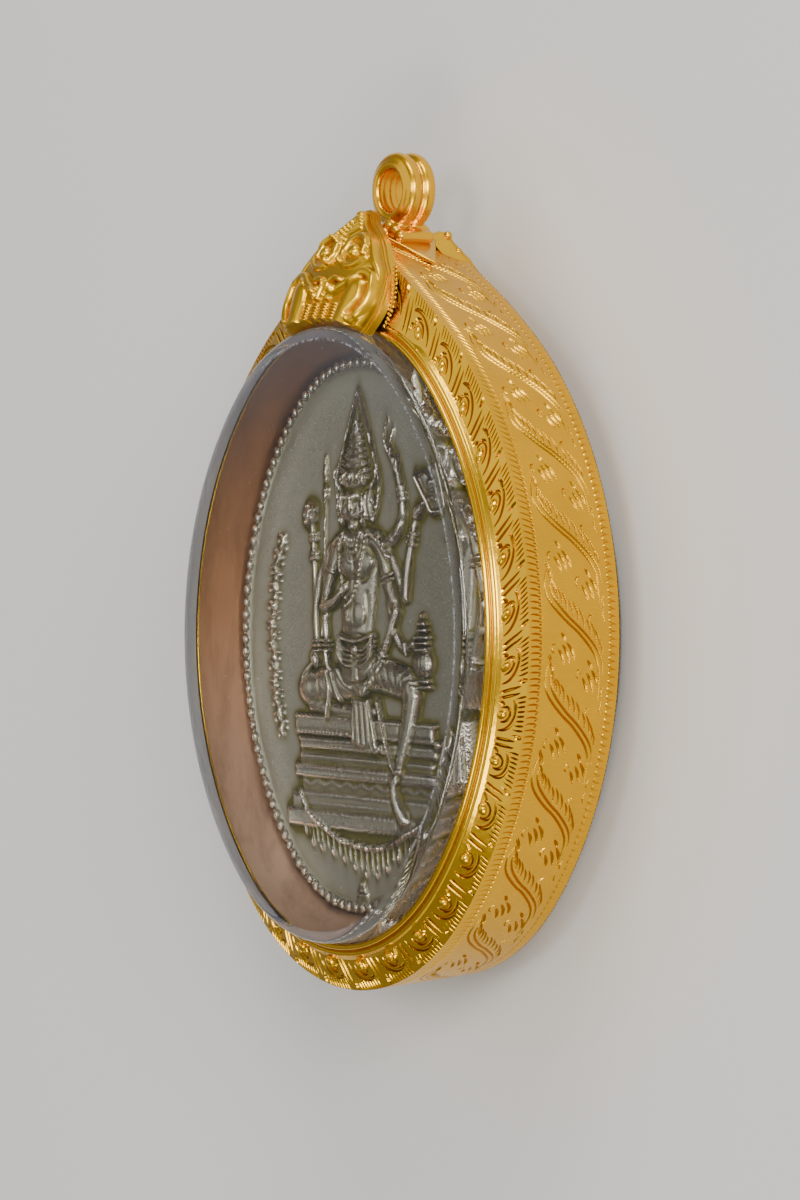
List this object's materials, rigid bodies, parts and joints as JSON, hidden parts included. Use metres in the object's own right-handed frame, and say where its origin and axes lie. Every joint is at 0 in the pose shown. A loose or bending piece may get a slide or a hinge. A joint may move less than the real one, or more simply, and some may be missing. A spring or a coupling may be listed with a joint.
{
  "type": "coin amulet pendant",
  "caption": "Oval relief medal sealed in a clear acrylic capsule, framed in an engraved gold leaf-shaped case with a crest and a double-ring bail for a neck chain.",
  "frame": {"origin": "middle of the pendant's box on the floor it lies on, at the face of the back lens", "axes": "+Y towards the bail, +Z out of the medal's face, +X to the right as the medal is read"},
  "size_m": [0.038, 0.053, 0.0133],
  "materials": {
    "gold": "polished yellow gold, finely engraved",
    "clear_acrylic": "polished clear acrylic",
    "nickel_silver": "struck, dull, tarnished in the recesses"
  },
  "bodies": {
    "root": {"case_band": "gold", "front_bezel": "gold", "back_bezel": "gold", "front_lens": "clear_acrylic", "back_lens": "clear_acrylic", "medal": "nickel_silver"}
  },
  "joints": []
}
